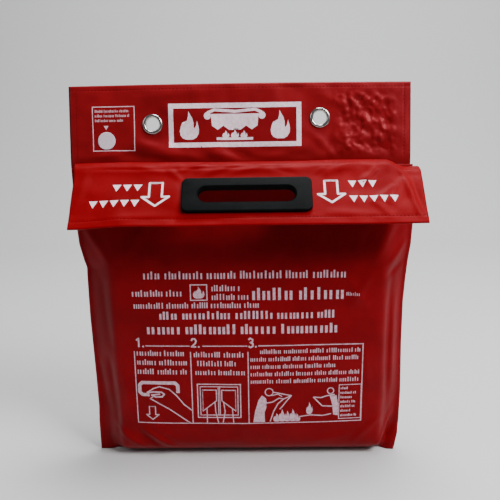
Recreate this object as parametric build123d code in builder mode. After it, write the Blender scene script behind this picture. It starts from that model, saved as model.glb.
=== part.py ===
"""A fire blanket folded inside a soft wall pouch of coated fabric.

The pouch is two sheets welded together along their sides and bottom. The back sheet runs
on upwards as a header with two hanging eyelets. The front sheet runs up from the pocket as
a throat, folds forwards over a ridge and hangs down as a pull flap that carries the grip.
Hook-and-loop tape behind the ridge keeps the throat shut until the grip is pulled.

Millimetres. The origin is on the floor under the seam plane, where the two sheets meet.
X runs to the right, Y to the back and Z up.
"""

import os
from math import cos, radians, sin, tan

from build123d import *

os.makedirs("parts", exist_ok=True)

# ---------------------------------------------------------------- driving dimensions
SHEET = 1.0  # coated fabric
FACING = 0.8  # thinner front ply of the header
GAP = 0.3  # air between pieces that move apart

POUCH_HEIGHT = 346.0
HEADER_WIDTH = 300.0
HEADER_LEAN = 9.5  # degrees, backwards
LEAN_Z = 282.0  # the header leans back above this height
RIDGE_Z = 279.0  # where the front sheet folds over

POCKET_TOP_Z = 197.0  # the welded side seams end here
BULGE = 18.0  # each sheet, out from the seam plane
FACE_X = 122.0  # half width of the flat front and back faces
RIM_X = 137.0  # half width where the walls reach the seam plane
SEAM_X = 144.0  # half width over the welded side seams
BASE_RADIUS = 4.0

THROAT_FLAT_Z = 256.0  # above this the throat lies flat in front of the header
THROAT_X = 148.0

FLAP_WIDTH = 298.0
FLAP_DROP = 63.0
FLAP_LEAN = 40.0  # degrees, forwards from hanging straight down
FLAP_SHIFT = 4.7  # the flap sits a little to the right
FLAP_SHEET = 1.2
FOLD_RADIUS = 2.0  # inside the ridge fold
HEM_WIDTH = 6.5

TAPE_THICK = 1.2
TAPE_HEIGHT = 18.0
TAPE_LENGTH = 280.0

GRIP_LENGTH = 110.0
GRIP_HEIGHT = 33.0
GRIP_CORNER = 5.5
GRIP_FRONT_THICK = 3.4
GRIP_REAR_THICK = 2.8
GRIP_X = 4.2
GRIP_DOWN = 35.0  # grip centre, down the flap from the ridge
SLOT_LENGTH = 82.0
SLOT_HEIGHT = 14.5
COLLAR_WALL = 1.6  # the slot wall goes on through the flap
PEG_RADIUS = 1.9
PEG_REACH = 2.0  # how far a peg goes into the rear plate
PEG_SPACING = (99.0, 21.0)
FIT_CLEARANCE = 0.2

EYELET_BORE_R = 5.9
EYELET_WALL = 0.5
EYELET_FLANGE_R = 9.0
EYELET_DOME = 1.3
EYELET_ROLL = 1.0
WASHER = 0.5
WASHER_R = 9.4
# Place of each eyelet on the header: to the right, and up from where it starts to lean.
EYELETS = {"left": (-78.4, 32.3), "right": (68.8, 36.0)}

BADGE_R = 7.9
BADGE_THICK = 0.3
BADGE_AT = (-119.2, 18.2)

BUNDLE_X = 117.0
BUNDLE_Y = 15.0
BUNDLE_Z = (1.5, 190.0)
BUNDLE_RADIUS = 9.0

TAB_WIDTH = 25.0
TAB_THICK = 1.5
TAB_HEIGHT = 22.0
TAB_X = 62.0
TAB_HALF_DEPTH = 4.0

# ---------------------------------------------------------------- derived places
lean = radians(HEADER_LEAN)
tilt = radians(FLAP_LEAN)
header_length = (POUCH_HEIGHT - LEAN_Z) / cos(lean)

# From the header facing forwards: loop tape, gap, hook tape, throat sheet.
loop_y = -FACING - TAPE_THICK / 2
hook_y = loop_y - TAPE_THICK - GAP
throat_back_y = hook_y - TAPE_THICK / 2
throat_front_y = throat_back_y - SHEET
tape_z = RIDGE_Z - 2.0 - TAPE_HEIGHT / 2

# On the header plane x is to the right, y up the header and z out of its front.
header_front = Vector(0, -cos(lean), sin(lean))
header_plane = Plane(origin=(0, 0, LEAN_Z), x_dir=(1, 0, 0), z_dir=header_front)

# On the flap plane x is to the right, y up the flap and z out of its front. The flap turns
# about the ridge axis, just outside the rounded ridge.
ridge_y = throat_front_y - FOLD_RADIUS
flap_front = Vector(0, -cos(tilt), sin(tilt))
flap_top = Vector(0, ridge_y, RIDGE_Z) + flap_front * (FOLD_RADIUS + SHEET + GAP)
flap_plane = Plane(origin=flap_top, x_dir=(1, 0, 0), z_dir=flap_front)


def trough(side, depth, edge_x, foot):
    """Section of a sheet that rises from two flat margins over slanted walls to a face.

    side is -1 for a front sheet and 1 for a back sheet. depth is how far the outside of
    the face is from the seam plane, and foot is how far the margins stand off it.
    """
    outside = [
        (-edge_x, foot + SHEET),
        (-RIM_X, foot + SHEET),
        (-FACE_X, depth),
        (FACE_X, depth),
        (RIM_X, foot + SHEET),
        (edge_x, foot + SHEET),
    ]
    inside = [
        (edge_x, foot),
        (RIM_X - SHEET, foot),
        (FACE_X - SHEET / 2, depth - SHEET),
        (SHEET / 2 - FACE_X, depth - SHEET),
        (SHEET - RIM_X, foot),
        (-edge_x, foot),
    ]
    return [(x, side * y) for x, y in outside + inside]


def pocket_half(side):
    """One half of the pocket: margins, walls and face, closed at the bottom."""
    with BuildPart() as half:
        with BuildSketch(Plane.XY):
            Polygon(*trough(side, BULGE, SEAM_X, 0), align=None)
        extrude(amount=POCKET_TOP_Z)
        with BuildSketch(Plane.XY):
            y = side * BULGE
            Polygon((-RIM_X, 0), (-FACE_X, y), (FACE_X, y), (RIM_X, 0), align=None)
        extrude(amount=SHEET)
        for height, radius in ((SHEET, BASE_RADIUS - SHEET), (0, BASE_RADIUS)):
            creases = half.edges().filter_by(Axis.X)
            creases = creases.filter_by(lambda edge: abs(edge.center().Z - height) < SHEET / 4)
            fillet(creases.sort_by(lambda edge: side * edge.center().Y)[-1], radius=radius)
    return half.part


def header_ply(back_y, front_y, start_z, short):
    """A ply of the header, upright at first and then leaning back.

    back_y and front_y are the ply's faces in Y, and short is how far it stops below the
    top of the header.
    """

    def bend(y):
        return (y, LEAN_Z - y * tan(lean / 2))

    def top(y):
        reach = header_length - short
        return (y * cos(lean) + reach * sin(lean), LEAN_Z - y * sin(lean) + reach * cos(lean))

    with BuildPart() as ply:
        with BuildSketch(Plane.YZ):
            Polygon(
                (back_y, start_z),
                bend(back_y),
                top(back_y),
                top(front_y),
                bend(front_y),
                (front_y, start_z),
                align=None,
            )
        extrude(amount=HEADER_WIDTH / 2, both=True)
        with BuildSketch(header_plane):
            with Locations(*EYELETS.values()):
                Circle(EYELET_BORE_R + EYELET_WALL + GAP)
        extrude(amount=3 * SHEET, both=True, mode=Mode.SUBTRACT)
    return ply.part


# ---------------------------------------------------------------- back sheet
back_pocket = pocket_half(1)
back_header = header_ply(SHEET, 0, THROAT_FLAT_Z, 0)
with BuildPart() as back_panel:
    add(back_pocket)
    with BuildSketch(Plane.XY.offset(POCKET_TOP_Z)):
        Polygon(*trough(1, BULGE, SEAM_X, 0), align=None)
    with BuildSketch(Plane.XY.offset(THROAT_FLAT_Z)):
        Polygon(*trough(1, 1.05 * SHEET, HEADER_WIDTH / 2, 0), align=None)
    loft(ruled=True)
    add(back_header)

# ---------------------------------------------------------------- header facing
facing_start_z = tape_z - TAPE_HEIGHT / 2 - 3.0
front_ply = header_ply(0, -FACING, facing_start_z, 1.0)
with BuildPart() as header_facing:
    add(front_ply)


# ---------------------------------------------------------------- eyelets and washers
def eyelet(place):
    """A rolled eyelet: domed flange in front, barrel, and a roll over the washer behind."""
    centre = header_plane.from_local_coords(Vector(*place))
    # On this section x is the radius and y runs out of the back of the header.
    section = Plane(origin=centre, x_dir=(1, 0, 0), z_dir=(0, sin(lean), cos(lean)))
    barrel_r = EYELET_BORE_R + EYELET_WALL
    dome_y = -FACING - EYELET_DOME
    seat_y = SHEET + WASHER
    roll_y = seat_y + EYELET_ROLL
    with BuildPart() as made:
        with BuildSketch(section):
            with BuildLine():
                bore = Line((EYELET_BORE_R, dome_y / 2), (EYELET_BORE_R, seat_y + 0.5))
                roll_end = (barrel_r + 1.3, seat_y + 0.1)
                roll = ThreePointArc(bore @ 1, (barrel_r + 0.4, roll_y), roll_end)
                seat = Polyline(
                    roll @ 1,
                    (barrel_r + 1.1, seat_y),
                    (barrel_r, seat_y),
                    (barrel_r, -FACING),
                    (EYELET_FLANGE_R, -FACING),
                )
                dome = ((barrel_r + EYELET_FLANGE_R) / 2, dome_y)
                ThreePointArc(seat @ 1, dome, bore @ 0)
            make_face()
        revolve(axis=Axis(section.origin, section.y_dir))
    return made


def eyelet_washer(place):
    """The washer on the back of the header that the eyelet is rolled over."""
    with BuildPart() as made:
        with BuildSketch(header_plane.offset(-SHEET)):
            with Locations(place):
                Circle(WASHER_R)
                Circle(EYELET_BORE_R + EYELET_WALL + GAP / 3, mode=Mode.SUBTRACT)
        extrude(amount=-WASHER)
    return made


eyelets = {side: eyelet(place) for side, place in EYELETS.items()}
washers = {side: eyelet_washer(place) for side, place in EYELETS.items()}

# ---------------------------------------------------------------- inspection badge
with BuildPart() as inspection_badge:
    with BuildSketch(header_plane.offset(FACING)):
        with Locations(BADGE_AT):
            Circle(BADGE_R)
    extrude(amount=BADGE_THICK)

# ---------------------------------------------------------------- front sheet: pocket
front_pocket = pocket_half(-1)
with BuildPart() as pocket_front:
    add(front_pocket)

# ---------------------------------------------------------------- front sheet: throat
throat_top = trough(-1, 0.05 * SHEET - throat_front_y, THROAT_X, -throat_back_y)
with BuildPart() as throat_panel:
    with BuildSketch(Plane.XY.offset(POCKET_TOP_Z + 0.8)):
        Polygon(*trough(-1, BULGE, SEAM_X, GAP), align=None)
    with BuildSketch(Plane.XY.offset(THROAT_FLAT_Z)):
        Polygon(*throat_top, align=None)
    loft(ruled=True)
    with BuildSketch(Plane.XY.offset(THROAT_FLAT_Z)):
        with Locations((0, (throat_front_y + throat_back_y) / 2)):
            Rectangle(2 * THROAT_X, SHEET)
    extrude(amount=RIDGE_Z - THROAT_FLAT_Z)
    # the rounded ridge at its top
    with BuildSketch(Plane.YZ):
        with Locations((ridge_y, RIDGE_Z)):
            Circle(FOLD_RADIUS + SHEET)
            Circle(FOLD_RADIUS, mode=Mode.SUBTRACT)
            lower_half = (Align.CENTER, Align.MAX)
            Rectangle(9 * SHEET, 9 * SHEET, align=lower_half, mode=Mode.SUBTRACT)
    extrude(amount=THROAT_X, both=True)

# ---------------------------------------------------------------- hook-and-loop tape
with BuildPart() as loop_tape:
    with Locations((0, loop_y, tape_z)):
        Box(TAPE_LENGTH, TAPE_THICK, TAPE_HEIGHT)

with BuildPart() as hook_tape:
    with Locations((0, hook_y, tape_z)):
        Box(TAPE_LENGTH, TAPE_THICK, TAPE_HEIGHT)

# ---------------------------------------------------------------- pull flap
collar_length = SLOT_LENGTH + 2 * COLLAR_WALL
collar_height = SLOT_HEIGHT + 2 * COLLAR_WALL
collar_hole = (collar_length + 2 * FIT_CLEARANCE, collar_height + 2 * FIT_CLEARANCE)
grip_at = (GRIP_X, -GRIP_DOWN)
with BuildPart() as pull_flap:
    with BuildSketch(flap_plane):
        with Locations((FLAP_SHIFT, 0)):
            Rectangle(FLAP_WIDTH, FLAP_DROP, align=(Align.CENTER, Align.MAX))
        with Locations(grip_at):
            SlotOverall(*collar_hole, mode=Mode.SUBTRACT)
            with GridLocations(*PEG_SPACING, 2, 2):
                Circle(PEG_RADIUS + FIT_CLEARANCE, mode=Mode.SUBTRACT)
    extrude(amount=FLAP_SHEET)
    # the hem is a second ply behind the bottom edge
    with BuildSketch(flap_plane.offset(-SHEET)):
        with Locations((FLAP_SHIFT, -FLAP_DROP)):
            Rectangle(FLAP_WIDTH, HEM_WIDTH, align=(Align.CENTER, Align.MIN))
    extrude(amount=SHEET)

# ---------------------------------------------------------------- grip
out_of_flap = Axis(flap_plane.origin, flap_plane.z_dir)
with BuildPart() as grip_front_plate:
    with BuildSketch(flap_plane.offset(FLAP_SHEET)):
        with Locations(grip_at):
            RectangleRounded(GRIP_LENGTH, GRIP_HEIGHT, GRIP_CORNER)
    extrude(amount=GRIP_FRONT_THICK)
    front_face = grip_front_plate.faces().sort_by(out_of_flap)[-1]
    fillet(front_face.edges(), radius=1.2)
    # the collar and four pegs go through the flap into the rear plate
    with BuildSketch(flap_plane.offset(FLAP_SHEET)):
        with Locations(grip_at):
            SlotOverall(collar_length, collar_height)
            with GridLocations(*PEG_SPACING, 2, 2):
                Circle(PEG_RADIUS)
    extrude(amount=-(FLAP_SHEET + PEG_REACH))
    with BuildSketch(flap_plane.offset(FLAP_SHEET + GRIP_FRONT_THICK)):
        with Locations(grip_at):
            SlotOverall(SLOT_LENGTH, SLOT_HEIGHT)
    extrude(amount=-4 * GRIP_FRONT_THICK, mode=Mode.SUBTRACT)
    slot_rim = grip_front_plate.faces().sort_by(out_of_flap)[-1].inner_wires()[0]
    chamfer(slot_rim.edges(), length=1.3)

with BuildPart() as grip_rear_plate:
    with BuildSketch(flap_plane):
        with Locations(grip_at):
            RectangleRounded(GRIP_LENGTH, GRIP_HEIGHT, GRIP_CORNER)
            SlotOverall(*collar_hole, mode=Mode.SUBTRACT)
    extrude(amount=-GRIP_REAR_THICK)
    with BuildSketch(flap_plane):
        with Locations(grip_at):
            with GridLocations(*PEG_SPACING, 2, 2):
                Circle(PEG_RADIUS + FIT_CLEARANCE / 2)
    extrude(amount=-(PEG_REACH + FIT_CLEARANCE), mode=Mode.SUBTRACT)
    rear_face = grip_rear_plate.faces().sort_by(out_of_flap)[0]
    fillet(rear_face.outer_wire().edges(), radius=1.0)

# ---------------------------------------------------------------- folded blanket
with BuildPart() as folded_blanket:
    with BuildSketch(Plane.XY.offset(BUNDLE_Z[0])):
        RectangleRounded(2 * BUNDLE_X, 2 * BUNDLE_Y, BUNDLE_RADIUS)
    extrude(amount=BUNDLE_Z[1] - BUNDLE_Z[0])
    fillet(folded_blanket.faces().sort_by(Axis.Z)[-1].edges(), radius=BUNDLE_RADIUS / 2)


# ---------------------------------------------------------------- grab tabs
def grab_tab(x):
    """A webbing loop standing up from the top edge of the folded blanket."""
    straight = TAB_HEIGHT - TAB_HALF_DEPTH
    foot_up = (Align.CENTER, Align.MIN)
    with BuildPart() as made:
        with BuildSketch(Plane.YZ.offset(x - TAB_WIDTH / 2)):
            with Locations((0, BUNDLE_Z[1])):
                Rectangle(2 * TAB_HALF_DEPTH, straight, align=foot_up)
            with Locations((0, BUNDLE_Z[1] + straight)):
                Circle(TAB_HALF_DEPTH)
                Circle(TAB_HALF_DEPTH - TAB_THICK, mode=Mode.SUBTRACT)
            with Locations((0, BUNDLE_Z[1])):
                inner = 2 * (TAB_HALF_DEPTH - TAB_THICK)
                Rectangle(inner, straight, align=foot_up, mode=Mode.SUBTRACT)
        extrude(amount=TAB_WIDTH)
    return made


tabs = {"left": grab_tab(-TAB_X), "right": grab_tab(TAB_X)}

# ---------------------------------------------------------------- write the nodes
built = {
    "back_panel": back_panel,
    "header_facing": header_facing,
    "eyelet_left": eyelets["left"],
    "eyelet_right": eyelets["right"],
    "eyelet_washer_left": washers["left"],
    "eyelet_washer_right": washers["right"],
    "inspection_badge": inspection_badge,
    "pocket_front": pocket_front,
    "throat_panel": throat_panel,
    "loop_tape": loop_tape,
    "hook_tape": hook_tape,
    "pull_flap": pull_flap,
    "grip_front_plate": grip_front_plate,
    "grip_rear_plate": grip_rear_plate,
    "folded_blanket": folded_blanket,
    "grab_tab_left": tabs["left"],
    "grab_tab_right": tabs["right"],
}
for node, made in built.items():
    made.part.label = node
    export_step(made.part, f"parts/{node}.step")
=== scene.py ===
"""A fire blanket in a soft wall pouch: the looks of each piece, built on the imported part.

Shapes are worked out in millimetres in the row frame and turned into metres when a mesh is
made. X runs to the right, Y to the back and Z up. The printed front faces -Y.
"""

from math import cos, pi, radians, sin, tau

import bmesh
import bpy
import numpy as np
from mathutils import Matrix, Vector


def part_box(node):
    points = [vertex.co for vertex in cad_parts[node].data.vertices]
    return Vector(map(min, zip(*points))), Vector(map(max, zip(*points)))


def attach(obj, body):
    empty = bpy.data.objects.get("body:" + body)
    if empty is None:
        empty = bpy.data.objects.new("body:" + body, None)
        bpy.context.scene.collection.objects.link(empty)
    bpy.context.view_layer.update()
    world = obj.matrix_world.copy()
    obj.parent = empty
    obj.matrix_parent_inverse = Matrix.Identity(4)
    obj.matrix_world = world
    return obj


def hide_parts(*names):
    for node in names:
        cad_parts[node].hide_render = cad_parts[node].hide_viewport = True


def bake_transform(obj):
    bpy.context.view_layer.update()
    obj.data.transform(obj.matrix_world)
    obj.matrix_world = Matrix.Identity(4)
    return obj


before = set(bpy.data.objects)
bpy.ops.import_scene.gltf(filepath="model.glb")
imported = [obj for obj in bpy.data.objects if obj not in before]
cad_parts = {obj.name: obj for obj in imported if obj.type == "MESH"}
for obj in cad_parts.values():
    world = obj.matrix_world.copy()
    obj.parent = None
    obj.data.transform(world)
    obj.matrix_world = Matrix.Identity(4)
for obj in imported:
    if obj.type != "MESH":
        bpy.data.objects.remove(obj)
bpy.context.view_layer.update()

# -------- coated fabric of the pouch
# The pouch is sewn and welded from polyester scrim coated on both sides with soft red vinyl.
# It is about half a millimetre thick, so it keeps soft folds and takes a dull shine.
MM = 0.001
CLOTH = 0.7  # thickness drawn for the coated sheets


def node(tree, kind, **settings):
    """A shader node. Names with an underscore in front set sockets, the others properties."""
    made = tree.nodes.new(kind)
    for name, value in settings.items():
        if name.startswith("_"):
            made.inputs[name[1:].replace("_", " ")].default_value = value
        else:
            setattr(made, name, value)
    return made


def new_material(name, **shader):
    """An empty material with its main shader; returns the material, its tree and shader."""
    made = bpy.data.materials.new(name)
    made.use_nodes = True
    main = made.node_tree.nodes["Principled BSDF"]
    for socket, value in shader.items():
        main.inputs[socket.replace("_", " ")].default_value = value
    return made, made.node_tree, main


def add_bump(tree, main, height, depth, before=None):
    """Raises the surface by height times depth metres, on top of an earlier bump."""
    bump = node(tree, "ShaderNodeBump", _Strength=1.0, _Distance=depth)
    tree.links.new(height, bump.inputs["Height"])
    if before is not None:
        tree.links.new(before, bump.inputs["Normal"])
    tree.links.new(bump.outputs["Normal"], main.inputs["Normal"])
    return bump.outputs["Normal"]


def add_ramp(tree, value, stops):
    """A colour ramp over value; stops are (position, colour)."""
    ramp = node(tree, "ShaderNodeValToRGB")
    points = ramp.color_ramp.elements
    while len(points) < len(stops):
        points.new(0.5)
    for point, (position, colour) in zip(points, stops):
        point.position = position
        point.color = (*colour, 1)
    tree.links.new(value, ramp.inputs["Fac"])
    return ramp.outputs["Color"]


def vary_roughness(tree, main, value, low, high):
    """Lets the shine wander between two values of roughness."""
    wander = node(tree, "ShaderNodeMapRange", _To_Min=low, _To_Max=high)
    tree.links.new(value, wander.inputs["Value"])
    tree.links.new(wander.outputs["Result"], main.inputs["Roughness"])


def weave_height(tree, spot, scale, distortion, operation):
    """Threads that run both ways across a cloth, put together by a sum or a product."""
    crossed = node(tree, "ShaderNodeMath", operation=operation)
    for side, direction in enumerate("XY"):
        threads = node(
            tree, "ShaderNodeTexWave", bands_direction=direction, _Scale=scale, _Distortion=distortion
        )
        tree.links.new(spot.outputs["UV"], threads.inputs["Vector"])
        tree.links.new(threads.outputs["Fac"], crossed.inputs[side])
    return crossed.outputs["Value"]


def noise(tree, spot, scale, detail, patchy=0.5):
    """Cloudy values that stay fixed to the piece."""
    made = node(tree, "ShaderNodeTexNoise", _Scale=scale, _Detail=detail, _Roughness=patchy)
    tree.links.new(spot.outputs["Object"], made.inputs["Vector"])
    return made.outputs["Fac"]


def toned(name, scale, detail, tones, grain=0.0, patchy=0.5, **shader):
    """A material whose colour wanders between two tones. Its grain is a depth in metres.

    Returns the material, its tree, its shader, the coordinates and the wandering value.
    """
    made, tree, main = new_material(name, **shader)
    spot = node(tree, "ShaderNodeTexCoord")
    tone = noise(tree, spot, scale, detail, patchy)
    tree.links.new(add_ramp(tree, tone, tones), main.inputs["Base Color"])
    if grain:
        add_bump(tree, main, tone, grain)
    return made, tree, main, spot, tone


def vinyl(name, dull, bright, shine, gloss=0.12):
    """Vinyl over a woven scrim: the weave shows through a little, with grain and mottling."""
    made, tree, main, spot, _ = toned(
        name, 38.0, 5.0, [(0.3, dull), (0.7, bright)], patchy=0.6,
        Roughness=shine, Specular_IOR_Level=gloss, Specular_Tint=(1.0, 0.20, 0.22, 1),
    )
    vary_roughness(tree, main, noise(tree, spot, 9.0, 3.0), shine - 0.07, shine + 0.12)
    woven = add_bump(tree, main, weave_height(tree, spot, 330.0, 0.4, "MULTIPLY"), 0.00003)
    add_bump(tree, main, noise(tree, spot, 1900.0, 2.0), 0.00004, woven)
    return made


red_vinyl = vinyl("red_vinyl", (0.158, 0.0040, 0.0068), (0.212, 0.0054, 0.0092), 0.38)


def ripples(x, t, size, seed):
    """Smooth random waves from -1 to 1, about size millimetres from crest to hollow."""
    lattice = np.random.RandomState(seed).uniform(-1, 1, (64, 64))
    a, b = x / size + 640.0, t / size + 640.0
    i, j = np.floor(a).astype(int), np.floor(b).astype(int)
    u, v = a - i, b - j
    u, v = u * u * (3 - 2 * u), v * v * (3 - 2 * v)
    near = lattice[i % 64, j % 64] * (1 - u) + lattice[(i + 1) % 64, j % 64] * u
    far = lattice[i % 64, (j + 1) % 64] * (1 - u) + lattice[(i + 1) % 64, (j + 1) % 64] * u
    return near * (1 - v) + far * v


def step(value, start, end):
    """Rises smoothly from 0 at start to 1 at end."""
    k = np.clip((value - start) / (end - start), 0, 1)
    return k * k * (3 - 2 * k)


def creases(x, t, folds):
    """Height of straight soft folds, each (x0, t0, x1, t1, width, height), fading at its ends."""
    total = np.zeros_like(x, dtype=float)
    for x0, t0, x1, t1, width, height in folds:
        run, rise = x1 - x0, t1 - t0
        length = np.hypot(run, rise)
        k = ((x - x0) * run + (t - t0) * rise) / length**2
        aside = ((x - x0) * rise - (t - t0) * run) / length
        fade = np.clip(4 * k * (1 - k), 0, 1) ** 0.7
        total += height * fade * np.exp(-((aside / width) ** 2))
    return total


def smooth_path(points):
    """A smooth line through (y, z) points. Returns its length and a function of distance."""
    knots = np.array(points, float)
    knots = np.vstack([2 * knots[0] - knots[1], knots, 2 * knots[-1] - knots[-2]])
    dense = []
    for a, b, c, d in zip(knots, knots[1:], knots[2:], knots[3:]):
        for k in np.linspace(0, 1, 24, endpoint=False):
            dense.append(
                0.5 * (2 * b + (c - a) * k + (2 * a - 5 * b + 4 * c - d) * k * k
                       + (3 * b - a - 3 * c + d) * k**3)
            )
    dense = np.array(dense + [knots[-2]])
    travelled = np.concatenate([[0], np.cumsum(np.linalg.norm(np.diff(dense, axis=0), axis=1))])

    def at(t):
        y = np.interp(t, travelled, dense[:, 0])
        z = np.interp(t, travelled, dense[:, 1])
        return y, z

    def distance_at_height(z, start=0.0):
        """How far along the path it first reaches height z after start."""
        later = travelled >= start
        heights = dense[later, 1]
        crossing = np.argmax(np.abs(heights - z) < 0.6)
        return float(travelled[later][crossing])

    return travelled[-1], at, distance_at_height


def outward(surface, x, t, side):
    """Unit normals of surface(x, t), turned to its outer side."""
    h = 0.25
    across = surface(x + h, t) - surface(x - h, t)
    along = surface(x, t + h) - surface(x, t - h)
    normal = side * np.cross(across, along)
    return normal / np.maximum(np.linalg.norm(normal, axis=-1, keepdims=True), 1e-9)


def link_mesh(name, verts, faces, material, uvs=None):
    """A smooth-shaded mesh object from millimetre points."""
    mesh = bpy.data.meshes.new(name)
    mesh.from_pydata((np.asarray(verts, float) * MM).tolist(), [], faces)
    if uvs is not None:
        layer = mesh.uv_layers.new(name="cloth")
        index = np.empty(len(mesh.loops), int)
        mesh.loops.foreach_get("vertex_index", index)
        layer.data.foreach_set("uv", (np.asarray(uvs)[index] * MM).ravel())
    mesh.materials.append(material)
    mesh.polygons.foreach_set("use_smooth", [True] * len(mesh.polygons))
    mesh.update()
    made = bpy.data.objects.new(name, mesh)
    bpy.context.scene.collection.objects.link(made)
    return made


def grid_quads(shape):
    """The four corners of each face of a grid of points, row by row."""
    index = np.arange(shape[0] * shape[1]).reshape(shape)
    return np.stack([index[:-1, :-1], index[:-1, 1:], index[1:, 1:], index[1:, :-1]], -1)


def cloth_piece(name, surface, across, along, side, thick, material, holes=()):
    """A closed piece of cloth of a given thickness. surface(x, t) is the middle of the cloth.

    holes are (x, t, half length, radius), round or long, and are cut with clean edges.
    """
    x, t = np.meshgrid(np.asarray(across, float), np.asarray(along, float))
    quads = grid_quads(x.shape)
    keep = np.ones(quads.shape[:2], bool)
    for hole_x, hole_t, half, radius in holes:
        middle_x = (x[:-1, :-1] + x[1:, 1:]) / 2
        middle_t = (t[:-1, :-1] + t[1:, 1:]) / 2
        near_x = np.clip(middle_x, hole_x - half, hole_x + half)
        gone = np.hypot(middle_x - near_x, middle_t - hole_t) < radius
        keep &= ~gone
        touched = np.zeros(x.shape, bool)
        for corner in range(4):
            touched.flat[quads[gone][:, corner]] = True
        near_x = np.clip(x, hole_x - half, hole_x + half)
        away_x, away_t = x - near_x, t - hole_t
        away = np.maximum(np.hypot(away_x, away_t), 1e-6)
        x = np.where(touched, near_x + away_x / away * radius, x)
        t = np.where(touched, hole_t + away_t / away * radius, t)
    quads = quads[keep].reshape(-1, 4)
    middle = surface(x, t).reshape(-1, 3)
    normal = outward(surface, x, t, side).reshape(-1, 3)
    count = len(middle)
    verts = np.vstack([middle + normal * thick / 2, middle - normal * thick / 2])
    if side < 0:
        quads = quads[:, ::-1]
    edges = {}
    for quad in quads.tolist():
        for a, b in zip(quad, quad[1:] + quad[:1]):
            edges[(a, b)] = True
    rims = [(b, a, a + count, b + count) for a, b in edges if (b, a) not in edges]
    faces = quads.tolist() + (quads[:, ::-1] + count).tolist() + rims
    used = np.unique(np.array([v for face in faces for v in face]))
    renumber = np.full(2 * count, -1)
    renumber[used] = np.arange(len(used))
    faces = [[int(renumber[v]) for v in face] for face in faces]
    flat = np.stack([x.ravel(), t.ravel()], -1)
    return link_mesh(name, verts[used], faces, material, np.vstack([flat, flat])[used])


# -------- outline of the pouch
# Front and back sheets share one outline: nearly straight side seams that flare out to the
# full width of the header above the pocket. The folded blanket holds the two faces apart.
FULL_X = 146.0  # half width of both sheets before their margins are moved
FACE_LEFT, FACE_RIGHT = 119.0, 125.5  # where the flat face ends at each side
SEAM_GAP = 0.4  # from the seam plane to the middle of each sheet at the welded margins
WALL_SOFT = 0.10  # how softly the face rounds over into the side walls
CORNER_REACH = 40.0  # how far up the cloth the two flat bottom corners reach


def seam_x(z, right):
    """Half width of the pouch at a height, at its left or right side seam."""
    left_z = [0, 30, 48, 80, 140, 177, 186, 193, 208, 222]
    left_x = [144.4, 144.4, 143.5, 144, 145.3, 145, 144.7, 146.8, 150, 150.6]
    right_z = [0, 3, 12, 28, 60, 110, 150, 174, 190, 205, 222, 248, 262]
    right_x = [142.6, 144, 146.8, 148, 148.5, 147.3, 147.2, 148.6, 150, 152, 152.5, 152, 149.6]
    return np.where(right, np.interp(z, right_z, right_x), np.interp(z, left_z, left_x))


def spread(x, z):
    """Where a point of the cloth sits across the pouch: only its side margins are moved."""
    target = seam_x(z, x > 0)
    return x + np.sign(x) * (target - FULL_X) * step(np.abs(x), 112, FULL_X)


def fullness(x, z):
    """1 on the flat faces, falling over the walls to 0 at the seam margins."""
    left_rim, right_rim = 142.5 - 8 * step(z, 110, 40), 143.0 - 7 * step(z, 70, 20)
    left_wall = (left_rim + x) / (left_rim - FACE_LEFT)
    right_wall = (right_rim - x) / (right_rim - FACE_RIGHT)
    wall = np.where(x > 0, right_wall, left_wall)
    wall = (wall + np.sqrt(wall * wall + 0.006)) / 2
    rounded = np.exp(-1.0 / WALL_SOFT) + np.exp(-np.clip(wall, -3, 7) / WALL_SOFT)
    full = -WALL_SOFT * np.log(rounded)
    return np.clip(1.012 * full - 0.012, 0, 1)


def weld_line(x, z, t):
    """Depth of the grooves that the welding bars leave along the sides and the bottom."""
    inwards = seam_x(z, x > 0) - np.abs(spread(x, z))
    beside = np.exp(-(((inwards - 4.2) / 0.7) ** 2)) * step(z, 262, 250)
    below = np.exp(-(((t - 4.6) / 0.8) ** 2)) * step(np.abs(x), 128, 136)
    return 0.16 * np.maximum(beside, below)


def corner_twist(x, t):
    """How far the flat corner at the lower right is bent forwards."""
    return 5.0 * step(t, 34, 4) * step(x, 128, 143)


def hang_corners(z, t, full, straight_height):
    """Heights of the cloth: its side margins run straight down to the two flat corners."""
    foot = 0.4
    low = foot + np.minimum(t, CORNER_REACH) / CORNER_REACH * (straight_height - foot)
    return np.where(t < CORNER_REACH, z + (low - z) * (1 - full), z)


# -------- back sheet
# One sheet makes the back of the pocket and, further up, the rear ply of the header. It is
# welded to the front sheet along the sides and bottom and leans back above the pocket.
LEAN = radians(9.5)
LEAN_Z = 282.0  # height at which the header starts to lean
HEADER_TOP = 66.2  # the header's top edge, up from there
HEADER_LEFT = 1.4  # how far the header sits to the left of the pouch's middle
HEADER_BOW = 1.0  # how far its top edge bows up in the middle
EYELET_HOLE = 6.8  # radius of the eyelets' holes in the cloth


def header_line(up, out):
    """A point on the header: up from where it starts to lean and out of its front."""
    s = np.linspace(-40, 80, 1201)
    angle = LEAN * step(s, -8, 8)
    ys = np.concatenate([[0], np.cumsum(np.sin((angle[1:] + angle[:-1]) / 2) * np.diff(s))])
    zs = np.concatenate([[0], np.cumsum(np.cos((angle[1:] + angle[:-1]) / 2) * np.diff(s))])
    zs += LEAN_Z - 40 - zs[0]
    y, z, a = np.interp(up, s, ys), np.interp(up, s, zs), np.interp(up, s, angle)
    return y - out * np.cos(a), z + out * np.sin(a)


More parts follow.
